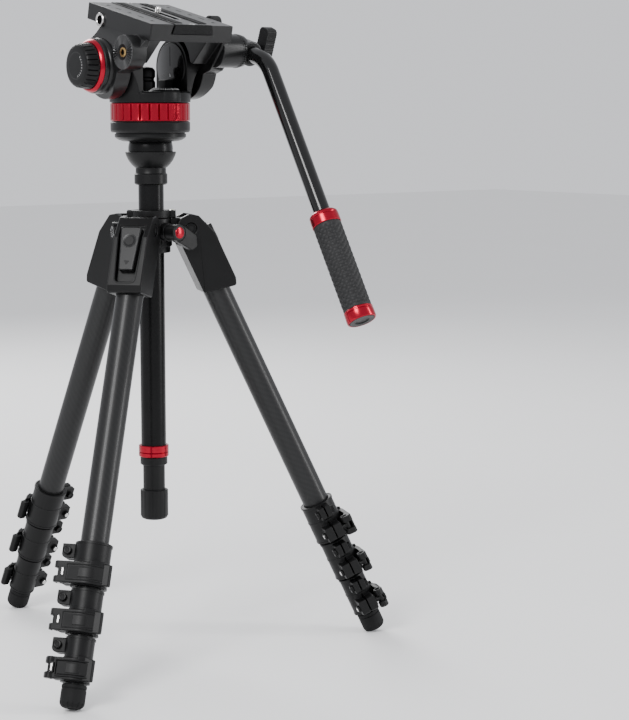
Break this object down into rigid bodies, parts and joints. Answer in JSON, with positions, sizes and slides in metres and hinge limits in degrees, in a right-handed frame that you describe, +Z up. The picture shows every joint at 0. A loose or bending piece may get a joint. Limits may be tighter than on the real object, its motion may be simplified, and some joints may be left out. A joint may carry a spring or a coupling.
{
  "type": "tripod with fluid head",
  "caption": "Folding carbon tripod with telescoping lever-lock legs, levelling centre column and a pan and tilt fluid head with a sliding camera plate and pan bar.",
  "frame": {"origin": "on the floor, at the middle of the standing tripod's outline", "axes": "+Z is up and along the centre column, +Y is where the lens points, and +X is the head's right, the pan bar's side"},
  "size_m": [0.472, 0.5342, 0.7097],
  "materials": {
    "bare_steel": "bright turned steel",
    "black_anodised": "satin black anodised",
    "black_casting": "fine matt black powder coat",
    "black_moulding": "fine grained black technopolymer",
    "black_rubber": "matt black rubber",
    "carbon_tube": "satin woven carbon fibre, clear resin",
    "grey_casting": "satin dark grey paint",
    "red_anodised": "satin red anodised"
  },
  "bodies": {
    "spider": {"spider": "black_casting", "pivot_bolts": "bare_steel"},
    "leg_a_upper": {"leg_a_shoulder": "black_casting", "leg_a_tube_1": "carbon_tube", "leg_a_clamp_1": "black_moulding"},
    "leg_a_angle_latch": {"leg_a_angle_latch": "grey_casting"},
    "leg_a_section_2": {"leg_a_tube_2": "carbon_tube", "leg_a_clamp_2": "black_moulding"},
    "leg_a_section_3": {"leg_a_tube_3": "carbon_tube", "leg_a_clamp_3": "black_moulding"},
    "leg_a_section_4": {"leg_a_tube_4": "carbon_tube", "leg_a_foot": "black_rubber"},
    "leg_a_lever_1": {"leg_a_lever_1": "black_moulding"},
    "leg_a_lever_2": {"leg_a_lever_2": "black_moulding"},
    "leg_a_lever_3": {"leg_a_lever_3": "black_moulding"},
    "leg_b_upper": {"leg_b_shoulder": "black_casting", "leg_b_tube_1": "carbon_tube", "leg_b_clamp_1": "black_moulding"},
    "leg_b_angle_latch": {"leg_b_angle_latch": "grey_casting"},
    "leg_b_section_2": {"leg_b_tube_2": "carbon_tube", "leg_b_clamp_2": "black_moulding"},
    "leg_b_section_3": {"leg_b_tube_3": "carbon_tube", "leg_b_clamp_3": "black_moulding"},
    "leg_b_section_4": {"leg_b_tube_4": "carbon_tube", "leg_b_foot": "black_rubber"},
    "leg_b_lever_1": {"leg_b_lever_1": "black_moulding"},
    "leg_b_lever_2": {"leg_b_lever_2": "black_moulding"},
    "leg_b_lever_3": {"leg_b_lever_3": "black_moulding"},
    "leg_c_upper": {"leg_c_shoulder": "black_casting", "leg_c_tube_1": "carbon_tube", "leg_c_clamp_1": "black_moulding"},
    "leg_c_angle_latch": {"leg_c_angle_latch": "grey_casting"},
    "leg_c_section_2": {"leg_c_tube_2": "carbon_tube", "leg_c_clamp_2": "black_moulding"},
    "leg_c_section_3": {"leg_c_tube_3": "carbon_tube", "leg_c_clamp_3": "black_moulding"},
    "leg_c_section_4": {"leg_c_tube_4": "carbon_tube", "leg_c_foot": "black_rubber"},
    "leg_c_lever_1": {"leg_c_lever_1": "black_moulding"},
    "leg_c_lever_2": {"leg_c_lever_2": "black_moulding"},
    "leg_c_lever_3": {"leg_c_lever_3": "black_moulding"},
    "level_collar": {"level_collar": "black_moulding"},
    "column_lock_knob": {"column_lock_knob": "black_moulding"},
    "column": {"centre_column": "black_anodised", "column_end_ring": "red_anodised"},
    "levelling_handle": {"levelling_handle": "black_anodised"},
    "levelling_ball": {"levelling_ball": "black_anodised"},
    "head_base": {"head_base": "black_casting"},
    "pan_drag_ring": {"pan_drag_ring": "red_anodised"},
    "pan_body": {"yoke": "black_casting"},
    "tilt_body": {"tilt_body": "grey_casting"},
    "tilt_drag_knob": {"tilt_drag_knob": "black_moulding"},
    "tilt_lock_knob": {"tilt_lock_knob": "black_moulding"},
    "sliding_plate": {"sliding_plate": "black_anodised"},
    "camera_screw": {"camera_screw": "bare_steel"},
    "plate_lock_knob": {"plate_lock_knob": "black_anodised"},
    "bar_clamp": {"bar_clamp": "black_anodised"},
    "pan_bar": {"pan_bar": "black_anodised", "grip": "black_rubber"},
    "clamp_knob": {"clamp_knob": "black_moulding"}
  },
  "joints": [
    {"name": "leg_a_spread", "type": "hinge", "parent": "spider", "child": "leg_a_upper", "pos_m": [-0.01542, 0.04079, 0.466], "axis": [0.9923, 0.1236, 0], "range_deg": [-25, 63]},
    {"name": "leg_a_angle_latch_slide", "type": "slide", "parent": "leg_a_upper", "child": "leg_a_angle_latch", "axis": [-0.0522, 0.4194, -0.9063], "range_m": [0, 0.008], "stiffness_N_per_m": 400, "springref_m": -0.001},
    {"name": "leg_a_section_2_slide", "type": "slide", "parent": "leg_a_upper", "child": "leg_a_section_2", "axis": [-0.0522, 0.4194, -0.9063], "range_m": [0, 0.29]},
    {"name": "leg_a_section_3_slide", "type": "slide", "parent": "leg_a_section_2", "child": "leg_a_section_3", "axis": [-0.0522, 0.4194, -0.9063], "range_m": [0, 0.29]},
    {"name": "leg_a_section_4_slide", "type": "slide", "parent": "leg_a_section_3", "child": "leg_a_section_4", "axis": [-0.0522, 0.4194, -0.9063], "range_m": [0, 0.29]},
    {"name": "leg_a_lever_1_flip", "type": "hinge", "parent": "leg_a_upper", "child": "leg_a_lever_1", "pos_m": [-0.0124, 0.21801, 0.13108], "axis": [-0.0522, 0.4194, -0.9063], "range_deg": [0, 110]},
    {"name": "leg_a_lever_2_flip", "type": "hinge", "parent": "leg_a_section_2", "child": "leg_a_lever_2", "pos_m": [-0.0169, 0.23793, 0.08749], "axis": [-0.0522, 0.4194, -0.9063], "range_deg": [0, 110]},
    {"name": "leg_a_lever_3_flip", "type": "hinge", "parent": "leg_a_section_3", "child": "leg_a_lever_3", "pos_m": [-0.02124, 0.25788, 0.0439], "axis": [-0.0522, 0.4194, -0.9063], "range_deg": [0, 110]},
    {"name": "leg_b_spread", "type": "hinge", "parent": "spider", "child": "leg_b_upper", "pos_m": [-0.04238, -0.02303, 0.466], "axis": [-0.6032, 0.7976, 0], "range_deg": [-25, 63]},
    {"name": "leg_b_angle_latch_slide", "type": "slide", "parent": "leg_b_upper", "child": "leg_b_angle_latch", "axis": [-0.3371, -0.2549, -0.9063], "range_m": [0, 0.008], "stiffness_N_per_m": 400, "springref_m": -0.001},
    {"name": "leg_b_section_2_slide", "type": "slide", "parent": "leg_b_upper", "child": "leg_b_section_2", "axis": [-0.3371, -0.2549, -0.9063], "range_m": [0, 0.29]},
    {"name": "leg_b_section_3_slide", "type": "slide", "parent": "leg_b_section_2", "child": "leg_b_section_3", "axis": [-0.3371, -0.2549, -0.9063], "range_m": [0, 0.29]},
    {"name": "leg_b_section_4_slide", "type": "slide", "parent": "leg_b_section_3", "child": "leg_b_section_4", "axis": [-0.3371, -0.2549, -0.9063], "range_m": [0, 0.29]},
    {"name": "leg_b_lever_1_flip", "type": "hinge", "parent": "leg_b_upper", "child": "leg_b_lever_1", "pos_m": [-0.19736, -0.10902, 0.13108], "axis": [-0.3371, -0.2549, -0.9063], "range_deg": [0, 110]},
    {"name": "leg_b_lever_2_flip", "type": "hinge", "parent": "leg_b_section_2", "child": "leg_b_lever_2", "pos_m": [-0.21237, -0.12288, 0.08749], "axis": [-0.3371, -0.2549, -0.9063], "range_deg": [0, 110]},
    {"name": "leg_b_lever_3_flip", "type": "hinge", "parent": "leg_b_section_3", "child": "leg_b_lever_3", "pos_m": [-0.22746, -0.13662, 0.0439], "axis": [-0.3371, -0.2549, -0.9063], "range_deg": [0, 110]},
    {"name": "leg_c_spread", "type": "hinge", "parent": "spider", "child": "leg_c_upper", "pos_m": [0.02637, -0.01447, 0.466], "axis": [-0.3891, -0.9212, 0], "range_deg": [-25, 63]},
    {"name": "leg_c_angle_latch_slide", "type": "slide", "parent": "leg_c_upper", "child": "leg_c_angle_latch", "axis": [0.3893, -0.1645, -0.9063], "range_m": [0, 0.008], "stiffness_N_per_m": 400, "springref_m": -0.001},
    {"name": "leg_c_section_2_slide", "type": "slide", "parent": "leg_c_upper", "child": "leg_c_section_2", "axis": [0.3893, -0.1645, -0.9063], "range_m": [0, 0.29]},
    {"name": "leg_c_section_3_slide", "type": "slide", "parent": "leg_c_section_2", "child": "leg_c_section_3", "axis": [0.3893, -0.1645, -0.9063], "range_m": [0, 0.29]},
    {"name": "leg_c_section_4_slide", "type": "slide", "parent": "leg_c_section_3", "child": "leg_c_section_4", "axis": [0.3893, -0.1645, -0.9063], "range_m": [0, 0.29]},
    {"name": "leg_c_lever_1_flip", "type": "hinge", "parent": "leg_c_upper", "child": "leg_c_lever_1", "pos_m": [0.17834, -0.10569, 0.13108], "axis": [0.3893, -0.1645, -0.9063], "range_deg": [0, 110]},
    {"name": "leg_c_lever_2_flip", "type": "hinge", "parent": "leg_c_section_2", "child": "leg_c_lever_2", "pos_m": [0.19784, -0.11175, 0.08749], "axis": [0.3893, -0.1645, -0.9063], "range_deg": [0, 110]},
    {"name": "leg_c_lever_3_flip", "type": "hinge", "parent": "leg_c_section_3", "child": "leg_c_lever_3", "pos_m": [0.21729, -0.11796, 0.0439], "axis": [0.3893, -0.1645, -0.9063], "range_deg": [0, 110]},
    {"name": "level_collar_turn", "type": "hinge", "parent": "spider", "child": "level_collar", "pos_m": [-0.01047, 0.0011, 0.482], "axis": [0, 0, 1], "continuous": true},
    {"name": "column_lock_turn", "type": "hinge", "parent": "spider", "child": "column_lock_knob", "pos_m": [-0.00553, -0.03859, 0.463], "axis": [0.1236, -0.9923, 0], "range_deg": [-60, 0]},
    {"name": "column_slide", "type": "slide", "parent": "spider", "child": "column", "axis": [0, 0, 1], "range_m": [-0.026, 0.205]},
    {"name": "levelling_handle_turn", "type": "hinge", "parent": "column", "child": "levelling_handle", "pos_m": [-0.01047, 0.0011, 0.18], "axis": [0, 0, 1], "range_deg": [-180, 180]},
    {"name": "level_fore_aft", "type": "hinge", "parent": "column", "child": "levelling_ball", "pos_m": [-0.01047, 0.0011, 0.552], "axis": [1, 0, 0], "range_deg": [-15, 15]},
    {"name": "level_side_to_side", "type": "hinge", "parent": "levelling_ball", "child": "head_base", "pos_m": [-0.01047, 0.0011, 0.552], "axis": [0, 1, 0], "range_deg": [-15, 15]},
    {"name": "pan_drag_turn", "type": "hinge", "parent": "head_base", "child": "pan_drag_ring", "pos_m": [-0.01047, 0.0011, 0.591], "axis": [0, 0, 1], "range_deg": [-150, 150]},
    {"name": "pan", "type": "hinge", "parent": "head_base", "child": "pan_body", "pos_m": [-0.01047, 0.0011, 0.603], "axis": [0, 0, 1], "continuous": true},
    {"name": "tilt", "type": "hinge", "parent": "pan_body", "child": "tilt_body", "pos_m": [-0.01047, 0.0011, 0.64], "axis": [1, 0, 0], "range_deg": [-80, 30]},
    {"name": "tilt_drag_turn", "type": "hinge", "parent": "tilt_body", "child": "tilt_drag_knob", "pos_m": [-0.09047, 0.0011, 0.64], "axis": [1, 0, 0], "range_deg": [-150, 150]},
    {"name": "tilt_lock_turn", "type": "hinge", "parent": "tilt_body", "child": "tilt_lock_knob", "pos_m": [0.05953, 0.00297, 0.63171], "axis": [1, 0, 0], "range_deg": [-120, 120]},
    {"name": "plate_slide", "type": "slide", "parent": "tilt_body", "child": "sliding_plate", "axis": [0, 0.9755, 0.2198], "range_m": [-0.03, 0.03]},
    {"name": "camera_screw_turn", "type": "hinge", "parent": "sliding_plate", "child": "camera_screw", "pos_m": [-0.01047, -0.01489, 0.69278], "axis": [0, -0.2198, 0.9755], "continuous": true},
    {"name": "plate_lock_turn", "type": "hinge", "parent": "tilt_body", "child": "plate_lock_knob", "pos_m": [0.04953, -0.03011, 0.6875], "axis": [1, 0, 0], "range_deg": [-180, 180]},
    {"name": "bar_rosette", "type": "hinge", "parent": "tilt_body", "child": "bar_clamp", "pos_m": [0.07553, -0.05188, 0.65676], "axis": [1, 0, 0], "range_deg": [-110, 10]},
    {"name": "pan_bar_twist", "type": "hinge", "parent": "bar_clamp", "child": "pan_bar", "pos_m": [0.07653, -0.05188, 0.65676], "axis": [0, -0.97, -0.243], "range_deg": [-10, 20]},
    {"name": "clamp_knob_turn", "type": "hinge", "parent": "bar_clamp", "child": "clamp_knob", "pos_m": [0.09953, -0.05188, 0.65676], "axis": [1, 0, 0], "continuous": true}
  ]
}
